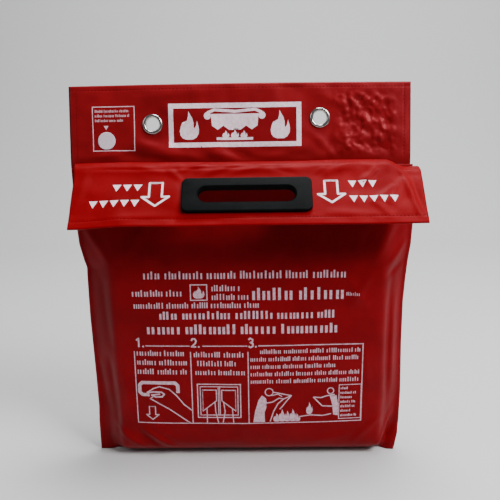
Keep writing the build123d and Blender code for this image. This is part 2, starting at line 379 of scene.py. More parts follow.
rear_points = [(0.4, 1.8), (6, 0.5), (12, 2.2), (16, 8.5), (17.4, 21), (17.7, 60), (17.7, 120)]
rear_points += [(17.5, 168), (16.9, 185), (15.0, 199), (11.4, 215), (6.4, 235), (2.4, 251)]
rear_points += [(0.9, 262)] + [header_line(up, -0.45) for up in (-8, 0, 8, 24, 44, HEADER_TOP)]
rear_length, rear_at, _ = smooth_path(rear_points)
rear_folds = [
    (-118, 200, -60, 262, 5, 1.5), (118, 200, 70, 262, 5, 1.4), (-112, 206, -95, 270, 4, -1.2),
    (108, 214, 126, 268, 4, 1.0), (-128, 18, -88, 62, 4, 1.3), (126, 20, 84, 70, 5, 1.2),
    (-30, 225, -8, 285, 7, 0.9), (44, 230, 30, 290, 6, -0.8), (-132, 40, -124, 120, 3, -1.0),
    (131, 60, 124, 150, 3, -1.0), (-100, 30, -20, 22, 6, 0.8), (10, 20, 96, 34, 6, 0.9),
]
REAR_CORNER = float(rear_at(CORNER_REACH)[1])


def rear_surface(x, t):
    y, z = rear_at(t)
    pocket = step(z, 262, 240)
    full = fullness(x, z)
    depth = SEAM_GAP + (y - SEAM_GAP) * full
    depth = depth * pocket + y * (1 - pocket)
    bumps = 0.55 * ripples(x, t, 34, 3) + 0.25 * ripples(x, t, 13, 4) + creases(x, t, rear_folds)
    bumps = bumps * step(np.abs(x), 146, 124) * step(t, 4, 24)
    bumps = bumps * step(t, rear_length, rear_length - 60)
    bow = HEADER_BOW * (1 - (x / 150) ** 2) * step(z, 300, 347)
    height = hang_corners(z, t, full, REAR_CORNER)
    y = depth + bumps - weld_line(x, z, t) - corner_twist(x, t)
    return np.stack([spread(x, z) - HEADER_LEFT * step(z, 225, 262), y, height + bow], -1)


eyelet_holes = []
for name in ("eyelet_left", "eyelet_right"):
    low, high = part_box(name)
    centre = (low + high) / 2 / MM
    eyelet_holes.append((centre.x, (centre.z - LEAN_Z) / cos(LEAN)))
rear_rows = np.concatenate([
    np.linspace(0, 40, 26), np.linspace(42, rear_length - 66, 88),
    np.linspace(rear_length - 64, rear_length, 54),
])
back_sheet = cloth_piece(
    "back_sheet", rear_surface, np.linspace(-FULL_X, FULL_X, 150), rear_rows, -1, CLOTH, red_vinyl,
    [(x + HEADER_LEFT, rear_length - HEADER_TOP + up, 0, EYELET_HOLE) for x, up in eyelet_holes],
)
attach(back_sheet, "pouch")
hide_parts("back_panel")

# -------- header facing
# A thinner sheet welded over the header's front along its border. The two plies hold air
# between them, and on the right the facing has come loose and dried into small crinkles.
# The facing's vinyl is a lighter copy of the pouch's red: painted light, standing in for the extra
# light the header catches.
facing_vinyl_painted_light = vinyl("header_vinyl_painted_light", (0.182, 0.0056, 0.0086), (0.245, 0.0074, 0.0112), 0.33, 0.34)
FACING_X = 149.6
WELD_X, WELD_UP = 143.8, 62.2  # the welded and sewn line along the border
facing_folds = [
    (-96, 18, -30, -4, 6, 2.0), (-110, 8, -56, -4, 5, -1.2), (-70, 12, -40, -4, 5, -0.9),
    (-34, 12, 4, -5, 5, 1.1), (-14, 10, 20, -3, 4, -0.8), (10, 9, 66, 4, 5, -0.9),
    (60, 28, 84, 0, 3.5, 0.8), (-140, 2, -96, 8, 3, 0.5), (-66, 26, -50, 6, 3, -0.5),
    (82, 30, 74, 4, 3, -0.6), (20, 2, 60, 10, 4, 0.6), (-100, 54, -20, 60, 4, 0.4),
]


def crinkles(x, up):
    """The dried-in dents of the loose area: short sharp ridges around shallow pits."""
    area = step(x, 76, 92) * step(x, 143, 128) * step(up, 0, 12) * step(up, 62, 50)
    lumps = ripples(x + 3 * ripples(x, up, 9, 21), up, 6.2, 22) + 0.35 * ripples(x, up, 3.2, 26)
    pits = np.abs(ripples(x, up + 3 * ripples(x, up, 8, 25), 8.0, 24))
    return area * (1.2 * lumps + 1.0 * (0.35 - np.minimum(pits, 0.6)))


def facing_surface(x, up):
    around = np.ones_like(x, dtype=float)
    for eyelet_x, eyelet_up in eyelet_holes:
        away = np.hypot(x - HEADER_LEFT - eyelet_x, up - eyelet_up)
        around = around * step(away, 9.5, 20)
    inside = step(np.abs(x), 149, 143) * step(up, 66, 61)
    held = step(up, -6, 6)
    puff = 0.55 * inside * held * around
    beside, above = (np.abs(x) - WELD_X) / 0.8, (up - WELD_UP) / 0.8
    weld = 0.22 * (np.exp(-(beside**2)) + np.exp(-(above**2))) * held
    loose = 0.65 * ripples(x, up, 22, 11) + 0.30 * ripples(x, up, 10, 12)
    loose = (loose + creases(x, up, facing_folds)) * held
    out = 0.40 + puff - weld + (loose + crinkles(x, up)) * inside * around
    y, z = header_line(up, np.maximum(out, 0.05))
    bow = HEADER_BOW * (1 - (x / 150) ** 2) * step(up, 18, 66)
    return np.stack([x - HEADER_LEFT, y, z + bow], -1)


header_front = cloth_piece(
    "header_facing_sheet",
    facing_surface,
    np.concatenate([np.linspace(-FACING_X, 74, 130), np.linspace(75, FACING_X, 84)]),
    np.concatenate([np.linspace(-25.5, -2, 12), np.linspace(0, 65.8, 70)]),
    1,
    0.6,
    facing_vinyl_painted_light,
    [(x + HEADER_LEFT, up, 0, EYELET_HOLE) for x, up in eyelet_holes],
)
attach(header_front, "pouch")
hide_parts("header_facing")

# -------- sewing thread
# The header's border and the hems are sewn with a red polyester thread, about three
# millimetres to the stitch. Each stitch lies slightly sunk in the soft vinyl.
thread = toned(
    "red_thread", 2600.0, 2.0, [(0.3, (0.09, 0.001, 0.003)), (0.8, (0.19, 0.003, 0.007))],
    0.0001, Roughness=0.6, Specular_IOR_Level=0.05,
)[0]


def sew(name, surface, side, runs, lift, material, pitch=3.1, radius=0.2):
    """Stitches along straight runs (x0, t0, x1, t1) on a piece of cloth."""
    verts, faces = [], []
    for x0, t0, x1, t1 in runs:
        count = max(1, int(np.hypot(x1 - x0, t1 - t0) / pitch))
        for number in range(count):
            ends = [(number + 0.14) / count, (number + 0.86) / count]
            k = np.linspace(ends[0], ends[1], 5)
            xs, ts = x0 + (x1 - x0) * k, t0 + (t1 - t0) * k
            points = surface(xs, ts)
            normal = outward(surface, xs, ts, side)
            line = points[-1] - points[0]
            line = line / np.linalg.norm(line)
            across = np.cross(line, normal)
            start = len(verts)
            for ring, swell in enumerate((0.35, 0.9, 1.0, 0.9, 0.35)):
                sunk = (lift, lift + 0.12, lift + 0.16, lift + 0.12, lift)[ring]
                for corner in range(6):
                    a = tau * corner / 6
                    verts.append(points[ring] + normal[ring] * (sunk + swell * radius * sin(a))
                                 + across[ring] * swell * radius * cos(a))
            for ring in range(4):
                for corner in range(6):
                    a, b = start + ring * 6 + corner, start + ring * 6 + (corner + 1) % 6
                    faces.append((a, b, b + 6, a + 6))
            faces.append(tuple(start + c for c in range(5, -1, -1)))
            faces.append(tuple(start + 24 + c for c in range(6)))
    return link_mesh(name, verts, faces, material)


header_runs = [
    (-WELD_X, WELD_UP, WELD_X, WELD_UP), (WELD_X, WELD_UP, WELD_X, 3), (-WELD_X, WELD_UP, -WELD_X, 3),
]
header_stitches = sew("header_stitches", facing_surface, 1, header_runs, 0.28, thread)
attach(header_stitches, "pouch")

# -------- screen printing
# All signs are screen printed in pale ink that the red shines through a little. Rows of short
# upright strokes stand for wording, and plain drawings for signs and marks.
ink_white = toned(
    "pale_ink", 420.0, 4.0, [(0.25, (0.80, 0.52, 0.60)), (0.6, (0.94, 0.76, 0.84))],
    0.00003, Roughness=0.55,
)[0]


def darker_ink(name, dull, bright):
    """The same ink with darker tones: for the small print it is laid on more thinly, so more of the red
    shows through; on the front face the darker tones are painted shade.
    """
    made = ink_white.copy()
    made.name = name
    points = next(n for n in made.node_tree.nodes if n.type == "VALTORGB").color_ramp.elements
    points[0].color, points[1].color = (*dull, 1), (*bright, 1)
    return made


def bar(x0, t0, x1, t1):
    """A filled rectangle."""
    return [(x0, t0), (x1, t0), (x1, t1), (x0, t1)]


def disc(x, t, radius, corners=20):
    """A filled circle."""
    angles = [tau * k / corners for k in range(corners)]
    return [(x + radius * cos(a), t + radius * sin(a)) for a in angles]


def line_art(points, width):
    """A drawn line of a given width, with round joints, as a list of shapes."""
    shapes = []
    for (x0, t0), (x1, t1) in zip(points, points[1:]):
        length = max(np.hypot(x1 - x0, t1 - t0), 1e-6)
        nx, nt = -(t1 - t0) / length * width / 2, (x1 - x0) / length * width / 2
        start = [(x0 + nx, t0 + nt), (x0 - nx, t0 - nt)]
        shapes.append(start + [(x1 - nx, t1 - nt), (x1 + nx, t1 + nt)])
    return shapes + [disc(x, t, width / 2, 8) for x, t in points[1:-1]]


def box_line(x0, t0, x1, t1, width):
    """An open frame drawn with four bars, measured to its outside."""
    return [
        bar(x0, t1 - width, x1, t1), bar(x0, t0, x1, t0 + width),
        bar(x0, t0 + width, x0 + width, t1 - width), bar(x1 - width, t0 + width, x1, t1 - width),
    ]


def ring(x, t, radius, width):
    """A circle drawn as a line."""
    angles = [tau * k / 14 for k in range(16)]
    return line_art([(x + radius * cos(a), t + radius * sin(a)) for a in angles], width)


def dashes(x0, x1, base, tall, seed, heavy=0.21):
    """A row of print without letters: groups of short upright strokes, long and short."""
    rng = np.random.RandomState(seed)
    shapes, x = [], x0
    stem, room = heavy * tall, 0.21 * tall
    while x < x1 - 2 * stem:
        for _ in range(rng.randint(5, 13)):
            if x + stem > x1:
                break
            high = base + tall * (1.0 if rng.rand() < 0.3 else 0.74)
            shapes.append(bar(x, base, x + stem, high))
            x += stem + room * rng.choice([0.8, 1.0, 1.5])
        x += tall * 0.38
    return shapes


def arrow_down(x, top, width, tall, line):
    """An open arrow that points down, drawn as an outline."""
    shaft, neck = width * 0.235, top - tall * 0.62
    points = [
        (x - shaft, top), (x + shaft, top), (x + shaft, neck), (x + width / 2, neck), (x, top - tall),
        (x - width / 2, neck), (x - shaft, neck), (x - shaft, top), (x + shaft, top),
    ]
    return line_art(points, line)


def flame(x, base, width, tall):
    """A plain flame with a tall tongue and a short one on each side."""
    edge = [
        (-0.18, 0), (0.18, 0), (0.36, 0.07), (0.47, 0.20), (0.50, 0.36), (0.46, 0.50), (0.40, 0.66),
        (0.35, 0.50), (0.28, 0.40), (0.22, 0.44), (0.22, 0.60), (0.16, 0.76), (0.04, 0.90),
        (-0.04, 1.0), (-0.05, 0.84), (-0.12, 0.68), (-0.22, 0.54), (-0.27, 0.42), (-0.33, 0.46),
        (-0.37, 0.60), (-0.45, 0.46), (-0.50, 0.30), (-0.46, 0.15), (-0.35, 0.05),
    ]
    return [(x + width * a, base + tall * b) for a, b in edge]


def pointers(x0, x1, base, tall, count):
    """A row of small solid triangles that point down."""
    pitch = (x1 - x0) / count
    half = 0.42 * pitch
    middles = [x0 + pitch * (k + 0.5) for k in range(count)]
    return [[(x - half, base + tall), (x, base), (x + half, base + tall)] for x in middles]


def print_on(name, surface, side, shapes, lift, material, cell=3.0):
    """Shapes in cloth millimetres laid over a piece of cloth, following its folds."""
    bm = bmesh.new()
    for shape in shapes:
        area = sum(a[0] * b[1] - b[0] * a[1] for a, b in zip(shape, shape[1:] + shape[:1]))
        turned = shape if area * side > 0 else shape[::-1]
        bm.faces.new([bm.verts.new((px, pt, 0)) for px, pt in turned])
    bmesh.ops.triangulate(bm, faces=bm.faces[:])
    for axis in (0, 1):
        values = [v.co[axis] for v in bm.verts]
        for cut in np.arange(np.floor(min(values) / cell) * cell, max(values), cell):
            place, way = [0, 0, 0], [0, 0, 0]
            place[axis], way[axis] = cut, 1
            everything = bm.verts[:] + bm.edges[:] + bm.faces[:]
            bmesh.ops.bisect_plane(bm, geom=everything, plane_co=place, plane_no=way, dist=1e-5)
    flat = np.array([v.co for v in bm.verts], float)
    xs, ts = flat[:, 0], flat[:, 1]
    points = surface(xs, ts) + outward(surface, xs, ts, side) * lift
    bm.verts.index_update()
    faces = [[v.index for v in face.verts] for face in bm.faces]
    bm.free()
    return link_mesh(name, points, faces, material)


# the sign in its heavy frame: a blanket lowered over a fire by two hands
sign = box_line(-64.2, 11.6, 52.4, 49.2, 4.2)
sign += [flame(-46, 18.5, 17, 24), flame(34, 18.5, 17, 24)]
sign += line_art([(-30, 41), (-24, 43.5), (-6, 42), (12, 43.5), (18, 41)], 2.4)
scallops = [(14 - 5 * k, 30 if k % 2 == 0 else 26.5) for k in range(8)] + [(-26, 30)]
sign += [[(-27, 40), (15, 40)] + scallops, disc(-30, 38.5, 3.1), disc(18, 38.5, 3.1)]
sign += line_art([(-22, 18.8), (10, 18.8)], 2.2)
sign += [flame(-14, 19.5, 6, 6.5), flame(-6, 19.5, 7, 7), flame(2, 19.5, 6, 6.5)]
# the square that the inspection sticker goes in
square = box_line(-131.4, 9.2, -94.0, 48.0, 0.7)
for row, end in enumerate((-99, -98, -104)):
    square += dashes(-129, end, 42.8 - 4 * row, 2.3, 5 + row, 0.2)
square += [[(-121.6, 31.4), (-117.4, 31.4), (-119.5, 27.8)]]
square_ink = darker_ink("small_ink", (0.62, 0.32, 0.38), (0.84, 0.56, 0.64))
sign, square = ([[(x + HEADER_LEFT, up) for x, up in shape] for shape in art] for art in (sign, square))
header_print = print_on("header_print", facing_surface, 1, sign, 0.34, ink_white, 2.0)
square_print = print_on("square_print", facing_surface, 1, square, 0.34, square_ink, 2.0)
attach(header_print, "pouch")
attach(square_print, "pouch")

# -------- eyelets and washers
# Rolled brass eyelets with a nickel plate, set through both plies over a washer. Handling
# has left fine scratches around the flange and a little dullness.
nickel, nickel_tree, nickel_shader, _, nickel_dull = toned(
    "nickel_plate", 260.0, 6.0, [(0.3, (0.36, 0.34, 0.31)), (0.7, (0.62, 0.60, 0.57))],
    0.00004, 0.7, Metallic=1.0, Roughness=0.24,
)
vary_roughness(nickel_tree, nickel_shader, nickel_dull, 0.12, 0.30)


def finish_cad(name, material, angle=35):
    """Gives a rigid piece its material and smooth shading up to an edge angle."""
    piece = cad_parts[name]
    piece.data.materials.clear()
    piece.data.materials.append(material)
    faces = piece.data.polygons
    faces.foreach_set("material_index", [0] * len(faces))
    faces.foreach_set("use_smooth", [True] * len(faces))
    weld = piece.modifiers.new("joined corners", "WELD")
    weld.merge_threshold = 1e-6
    split = piece.modifiers.new("crisp edges", "EDGE_SPLIT")
    split.split_angle = radians(angle)
    return piece


for name in ("eyelet_left", "eyelet_right", "eyelet_washer_left", "eyelet_washer_right"):
    finish_cad(name, nickel, 40)

# -------- inspection sticker
# A round self-adhesive paper sticker that shows when the blanket is due for a check. It is
# pressed by hand into the printed square on the header.
sticker = toned(
    "sticker_paper", 900.0, 5.0, [(0.3, (0.60, 0.48, 0.56)), (0.7, (0.72, 0.60, 0.68))],
    0.00005, Roughness=0.7,
)[0]
BADGE, BADGE_R = (-119.2, 18.2), 7.7  # its middle on the header, and its radius


def badge_surface(a, b):
    """A square of paper drawn in to a disc, a little proud of the facing."""
    drawn_in = BADGE_R + 0.06
    x = BADGE[0] + HEADER_LEFT + a * np.sqrt(1 - (b / drawn_in) ** 2 / 2)
    up = BADGE[1] + b * np.sqrt(1 - (a / drawn_in) ** 2 / 2)
    return facing_surface(x, up) + outward(facing_surface, x, up, 1) * 0.55


badge_rows = np.linspace(-BADGE_R, BADGE_R, 21)
badge = cloth_piece("inspection_sticker", badge_surface, badge_rows, badge_rows, 1, 0.2, sticker)
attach(badge, "pouch")
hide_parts("inspection_badge")

# -------- front sheet
# One sheet makes the front of the pocket and the throat above it, up to the ridge. It is
# pulled tight over the corners of the folded blanket and puckers where the side seams end.
front_points = [(-0.4, 0.6), (-4.6, 2.8), (-9.2, 5.4), (-13.0, 8.8), (-15.7, 13.6), (-17.0, 24)]
front_points += [(-17.6, 60), (-17.6, 120), (-17.4, 166), (-17.0, 183), (-15.4, 197), (-12.2, 212)]
front_points += [(-8.0, 232), (-5.2, 248), (-4.2, 259), (-4.0, 268), (-4.0, 277)]
front_length, front_at, front_distance = smooth_path(front_points)
# how far along the sheet is, less how high it is, on the flat face
FRONT_ZERO = front_distance(60.0) - 60.0
FRONT_CORNER = float(front_at(CORNER_REACH)[1])
front_folds = [
    (-120, 190, -146, 240, 4, 1.6), (116, 190, 138, 250, 4, 2.4), (104, 196, 122, 240, 5, -1.4),
    (-112, 192, -70, 250, 5, 1.4), (128, 186, 143, 212, 2.6, 1.8), (126, 176, 146, 196, 2.4, -1.4),
    (-121, 190, -119, 70, 2.6, 0.7), (-130, 182, -126, 110, 3.5, -1.2), (-128, 104, -122, 8, 3.2, -2.4),
    (-136, 100, -134, 4, 4, 1.4), (127, 186, 127, 20, 2.4, 0.6), (131.5, 190, 131, 30, 2.6, -2.2),
    (137, 160, 136, 60, 2.4, 1.6), (124, 4, 142, 50, 2.6, 3.0), (133, 2, 146, 34, 3.0, -2.4),
    (-128, 36, -96, 8, 3, 1.6), (-106, 30, -76, 6, 2.2, -1.2), (-99, 33, -68, 9, 2.6, 2.2),
    (-92, 34, -60, 16, 5, 0.8), (128, 44, 100, 14, 3, 1.0), (-84, 200, -60, 186, 5, 0.8),
    (-20, 196, 30, 190, 6, 0.6),
    (96, 150, 116, 186, 4, 0.9), (84, 190, 112, 150, 4, 0.8), (-114, 90, -108, 44, 3, 0.6),
    (100, 24, 60, 17, 4, 0.7), (-60, 16, 0, 20, 4, 0.6), (110, 110, 116, 60, 3, 0.7),
]


def front_surface(x, t):
    y, z = front_at(t)
    full = fullness(x, z)
    margin = SEAM_GAP + 3.5 * step(z, 197, 257)
    across = np.clip(np.abs(x - 3) / 122, 0, 1)
    camber = (5.2 * (1 - across**2) - 1.6) * step(z, 6, 44) * (1 - 0.75 * step(z, 80, 200))
    depth = margin + (-y - margin) * full + camber * full
    height = hang_corners(z, t, full, FRONT_CORNER)
    bumps = 0.5 * ripples(x, t, 38, 31) + 0.22 * ripples(x, t, 14, 32)
    bumps = bumps + creases(x, t - FRONT_ZERO, front_folds)
    bumps = bumps * step(np.abs(x), 144, 136) * step(t, 3, 22) * step(z, 262, 240)
    notch = 2.4 * np.exp(-(((np.abs(x) - 125) / 5) ** 2)) * step(t, 18, 2)
    y = weld_line(x, z, t) - depth - bumps - corner_twist(x, t)
    return np.stack([spread(x, z), y, height + notch], -1)


front_rows = np.concatenate([np.linspace(0, 40, 28), np.linspace(42, front_length, 118)])
front_sheet = cloth_piece(
    "front_sheet", front_surface, np.linspace(-FULL_X, FULL_X, 170), front_rows, 1, CLOTH, red_vinyl
)
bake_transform(front_sheet)
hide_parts("pocket_front", "throat_panel")

# the lines of wording above the drawings
front_art = dashes(-90, 92, 178.6, 7.0, 41) + dashes(-101, -52, 162.6, 6.0, 42)
front_art += dashes(-29, -2, 167.2, 5.6, 43, 0.2) + dashes(-29, 5, 159.0, 5.6, 44, 0.2)
front_art += box_line(-48.6, 158.4, -32.8, 173.8, 1.0) + [flame(-40.7, 160.6, 10.5, 11)]
front_art += dashes(7.5, 90, 158.6, 11.2, 45, 0.22) + dashes(92, 104, 161.6, 3.2, 46)
front_art += dashes(-100, 15, 151.4, 5.4, 47) + dashes(-77, 82, 141.0, 7.4, 48, 0.26)
front_art += dashes(-89, 93, 126.8, 9.2, 49, 0.26)
# three boxes with the steps of use
BOX_TOP, BOX_BOTTOM, THIN = 115.8, 37.4, 0.9
front_art += [bar(-102.6, BOX_BOTTOM, 108.8, BOX_BOTTOM + THIN)]
for x in (-102.6, -50.4, 2.4, 107.9):
    front_art.append(bar(x, BOX_BOTTOM, x + THIN, BOX_TOP - (6.0 if x < 100 else 0)))
for x0, x1 in ((-91.5, -50.4), (-38.8, 2.4), (12.4, 108.8)):
    front_art.append(bar(x0, BOX_TOP - THIN, x1, BOX_TOP))
# the step numbers 1, 2 and 3, each followed by a point
NUMERALS = {
    1: [(0.1, 0.76), (0.62, 1), (0.62, 0)],
    2: [(0, 0.74), (0.2, 0.96), (0.75, 0.96), (1, 0.74), (0.85, 0.48), (0, 0.08), (1, 0.08)],
    3: [(0, 0.86), (0.4, 1), (0.9, 0.86), (0.85, 0.62), (0.4, 0.53), (0.95, 0.40), (0.95, 0.14),
        (0.4, 0), (0, 0.14)],
}
for number, x, base, tall in ((1, -100.2, 114.0, 8.6), (2, -48.8, 114.0, 8.6), (3, 3.4, 114.0, 8.6)):
    wide = tall * 0.5
    front_art += line_art([(x + wide * a, base + tall * b) for a, b in NUMERALS[number]], tall * 0.17)
    front_art.append(disc(x + wide * 1.55, base + tall * 0.08, tall * 0.10))
# rows of small print in each box: top row, pitch, height, first seed, then start and end of each
for top, pitch, tall, seed, rows in (
    (105.6, 9.0, 5.4, 60, ((-100, -54), (-100, -52), (-100, -54))),
    (104.6, 8.8, 5.2, 65, ((-47, 0), (-44, -4), (-46, 1))),
    (107.6, 7.3, 4.3, 70, ((14, 106), (5, 105), (5, 84), (5, 107), (5, 106))),
):
    for row, (x0, x1) in enumerate(rows):
        front_art += dashes(x0, x1, top - pitch * row, tall, seed + row)


def drawn(*lines):
    """Several bent lines, each given as its points and its width."""
    return [shape for points, width in lines for shape in line_art(points, width)]


# step 1: a hand in the grip, pulling down
front_art += drawn(
    ([(-90, 66.8), (-96.5, 66.8), (-99, 69.5), (-99, 76.5), (-96.5, 79), (-65.6, 79), (-63, 76.5),
      (-63, 69)], 3.2),
    ([(-92.5, 68.8), (-85.8, 73.3), (-80.2, 75.2), (-71.2, 72.6), (-64.5, 66.2), (-57.8, 57.2),
      (-50.6, 51.3)], 1.1),
    ([(-92.5, 68.8), (-86, 69.8), (-78.5, 69.6), (-76, 67.4), (-78, 65), (-84, 64.6), (-88, 66.4),
      (-80, 67.6)], 1.5),
    ([(-87, 64.6), (-89.4, 62.8), (-86, 60.8), (-71.2, 52), (-52.4, 38.2)], 1.1),
)
front_art += arrow_down(-88.0, 54.8, 12.2, 13.4, 1.0)
# step 2: two hands take hold of the blanket's tabs
front_art += box_line(-45.2, 43.6, -4.2, 78.2, 1.0) + box_line(-42.6, 46.2, -6.8, 75.6, 0.8)
for out, inner in ((-40.1, -27.2), (-9.3, -22.2)):
    corners = [(out, 50.7), (out, 71.8), (inner, 71.8), (inner, 61), (out, 50.7), (out, 71.8)]
    front_art += line_art(corners, 0.9)
front_art += [bar(-25.8, 47.0, -25.0, 75.0), bar(-24.4, 47.0, -23.6, 75.0)]
front_art += drawn(
    ([(-36.4, 38.6), (-36.4, 53.6)], 0.9), ([(-28.8, 59.6), (-28.2, 50), (-25.8, 38.6)], 0.9),
    ([(-12.6, 53.6), (-11.6, 38.6)], 0.9), ([(-20.6, 59.6), (-19.4, 50), (-21.6, 38.6)], 0.9),
)
# step 3: the blanket is held up in front of the body and laid over the fire
front_art += ring(21.9, 69.6, 3.7, 0.9)
front_art.append([
    (6.8, 39.0), (8.6, 50), (11.9, 61.5), (15.2, 66.4), (19.0, 63.0), (19.6, 58.6), (15.2, 58.2),
    (15.8, 55.4), (19.4, 54.8), (17.4, 48.6), (17.8, 39.0),
])
front_art += drawn(
    ([(19.6, 58.6), (25, 59.4), (31, 63.2), (35.4, 62.4), (42.6, 65.6)], 1.0),
    ([(26, 69.4), (42.6, 65.6), (38, 60), (34, 54.6), (31.6, 52)], 1.0),
    ([(35.4, 62.4), (30, 57.6), (26, 50), (22.6, 39.4)], 1.0),
    ([(24, 66), (30, 67.4), (34, 64.8)], 0.8),
)
for x, wide, tall in ((29, 7, 9), (34, 7, 13), (39, 7, 11), (44, 7, 13), (48, 6, 8)):
    front_art.append(flame(x, 39.2, wide, tall))
front_art += line_art([(50, 44), (60, 45.4), (72, 44.4), (80, 46)], 1.0)
front_art += [flame(59.5, 46.5, 6, 12)] + ring(79.2, 69.3, 3.0, 0.9)
front_art += drawn(
    ([(63, 63.4), (70, 62.6), (76, 64.4), (83, 65.4)], 1.1),
    ([(63, 63.4), (71.5, 54.2), (80, 53.6), (84, 54.6)], 1.0),
)
front_art.append([(78.5, 64), (84.8, 64.4), (86.4, 56), (86.4, 44), (82, 45), (81, 55)])
front_art += box_line(86.8, 40.2, 108.2, 75.4, 0.7)
for row, wide in enumerate((7, 15, 12, 14, 14, 12, 15)):
    front_art += dashes(88.6, 88.6 + wide, 70.4 - 4.6 * row, 2.5, 80 + row, 0.32)
front_art = [[(px, pt + FRONT_ZERO) for px, pt in shape] for shape in front_art]
# The front face's ink is darkened with painted shade, for the shade that lies over the face.
face_ink_painted_shade = darker_ink("darker_ink", (0.42, 0.20, 0.25), (0.66, 0.44, 0.52))
front_print = print_on("front_print", front_surface, 1, front_art, CLOTH / 2 + 0.06, face_ink_painted_shade)
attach(front_print, "pouch")

# -------- hook-and-loop closure
# Two woven black tapes, the loop half sewn to the header and the hook half to the throat.
# Peeling them apart with the grip opens the pouch.
tape_cloth, tape_tree, tape_shader, tape_spot, _ = toned(
    "woven_tape", 160.0, 4.0, [(0.3, (0.006, 0.006, 0.007)), (0.7, (0.018, 0.018, 0.020))],
    Roughness=0.85, Specular_IOR_Level=0.15, Sheen_Weight=0.03, Sheen_Roughness=0.4,
)
tape_pile = node(tape_tree, "ShaderNodeTexVoronoi", _Scale=1400.0)
tape_tree.links.new(tape_spot.outputs["Object"], tape_pile.inputs["Vector"])
add_bump(tape_tree, tape_shader, tape_pile.outputs["Distance"], 0.00025)


def closure_tape(name, cad_node, body, pile):
    """A woven tape with flat selvedges and a raised pile of hooks or loops between them."""
    low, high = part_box(cad_node)
    low, high = low / MM, high / MM
    middle, tall = (low.y + high.y) / 2, high.z - low.z

    def tape_surface(x, t):
        edge = step(t, 0.2, 2.2) * step(tall - t, 0.2, 2.2) * step(high.x - np.abs(x), 0.5, 2.5)
        fuzz = 0.16 * ripples(x, t, 1.1, 51) * edge
        return np.stack([x, np.full_like(x, middle) - pile * (0.12 * edge + fuzz), low.z + t], -1)

    across, along = np.linspace(low.x, high.x, 260), np.linspace(0, tall, 26)
    made = cloth_piece(name, tape_surface, across, along, 1, 0.7, tape_cloth)
    seams = [(low.x + 2, t, high.x - 2, t) for t in (1.5, tall - 1.5)]
    sewn = sew(name + "_stitches", tape_surface, pile, seams, 0.34, thread, 2.8)
    for piece in (made, sewn):
        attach(piece, body)
    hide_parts(cad_node)


closure_tape("loop_tape_strip", "loop_tape", "pouch", 1)
closure_tape("hook_tape_strip", "hook_tape", "throat", -1)

# -------- pull flap
# Above the throat the front sheet rolls forwards over the ridge and hangs down as a flap.
# Its bottom edge is turned under and sewn, and its right end droops past the header.
flap_vinyl = vinyl("flap_vinyl", (0.168, 0.0016, 0.0040), (0.216, 0.0024, 0.0056), 0.38)
RIDGE_Y, RIDGE_Z, FLAP_TILT = -6.5, 279.0, radians(40.0)
FLAP_SHIFT = 4.7  # how far the flap sits to the right of the pouch's middle
FLAP_MIDDLE = 3.9  # from the fold line to the middle of the flap's cloth
HEM_LINE = 56.6  # how far down the flap the hem is sewn
GRIP_DOWN = 35.0  # how far down the flap the middle of the grip is
flap_out = (-cos(FLAP_TILT), sin(FLAP_TILT))
flap_down = (-sin(FLAP_TILT), -cos(FLAP_TILT))
grip_low, grip_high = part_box("grip_front_plate")
GRIP_X = (grip_low.x + grip_high.x) / 2 / MM


def flap_point(down, out=0.0):
    """(y, z) of a point on the flap, down from the ridge and out of the middle of its cloth."""
    away = FLAP_MIDDLE + out
    y = RIDGE_Y + flap_out[0] * away + flap_down[0] * down
    return y, RIDGE_Z + flap_out[1] * away + flap_down[1] * down


flap_points = [(-4.0, 277), (-4.1, 279.0), (-5.0, 280.4), (-6.8, 280.9), (-9.6, 280.2)]
flap_points += [flap_point(5.5, 1.0), flap_point(9, 0.9)]
flap_points += [flap_point(down) for down in (16, 30, 46, 58, 61.8)]
flap_points += [flap_point(62.9, -0.5), flap_point(61.8, -1.1), flap_point(58, -1.15)]
flap_points += [flap_point(56.2, -1.1)]
flap_length, flap_at, flap_distance = smooth_path(flap_points)
# how far along the cloth the ridge is
FLAP_ZERO = flap_distance(flap_point(30)[1], 12.0) - 30.0
flap_folds = [
    (-44, -19, -6, -1, 3.2, 0.9), (-20, -16, 22, -3, 3.0, 0.7), (60, -17, 96, -4, 3.5, 1.0),
    (-140, -7.5, -58, -8.5, 1.6, -0.6), (-72, -8, 60, -6.2, 1.6, -0.6), (-138, -10, -146, -50, 4, 0.8),
    (96, -24, 112, -8, 3, 0.8), (118, -46, 132, -18, 4, 1.0), (131, -6, 143, -60, 2.4, 1.2),
    (138, -8, 147, -58, 2.4, -0.8), (104, -40, 120, -58, 3, 0.7), (112, -10, 98, -24, 2.2, 0.9),
    (124, -26, 108, -42, 2.4, 0.8), (66, -8, 56, -18, 2.2, 0.7), (-60, -10, -34, -3, 2.4, 1.0),
    (-90, -5, -40, -8, 2.4, -0.6), (-70, -8, -52, -22, 3, 0.6), (-120, -58, -60, -52, 4, 0.5),
    (62, -52, 110, -56, 4, 0.6), (20, -8, 44, -16, 2.6, -0.5), (-100, -4, -70, -12, 3, 0.5),
]


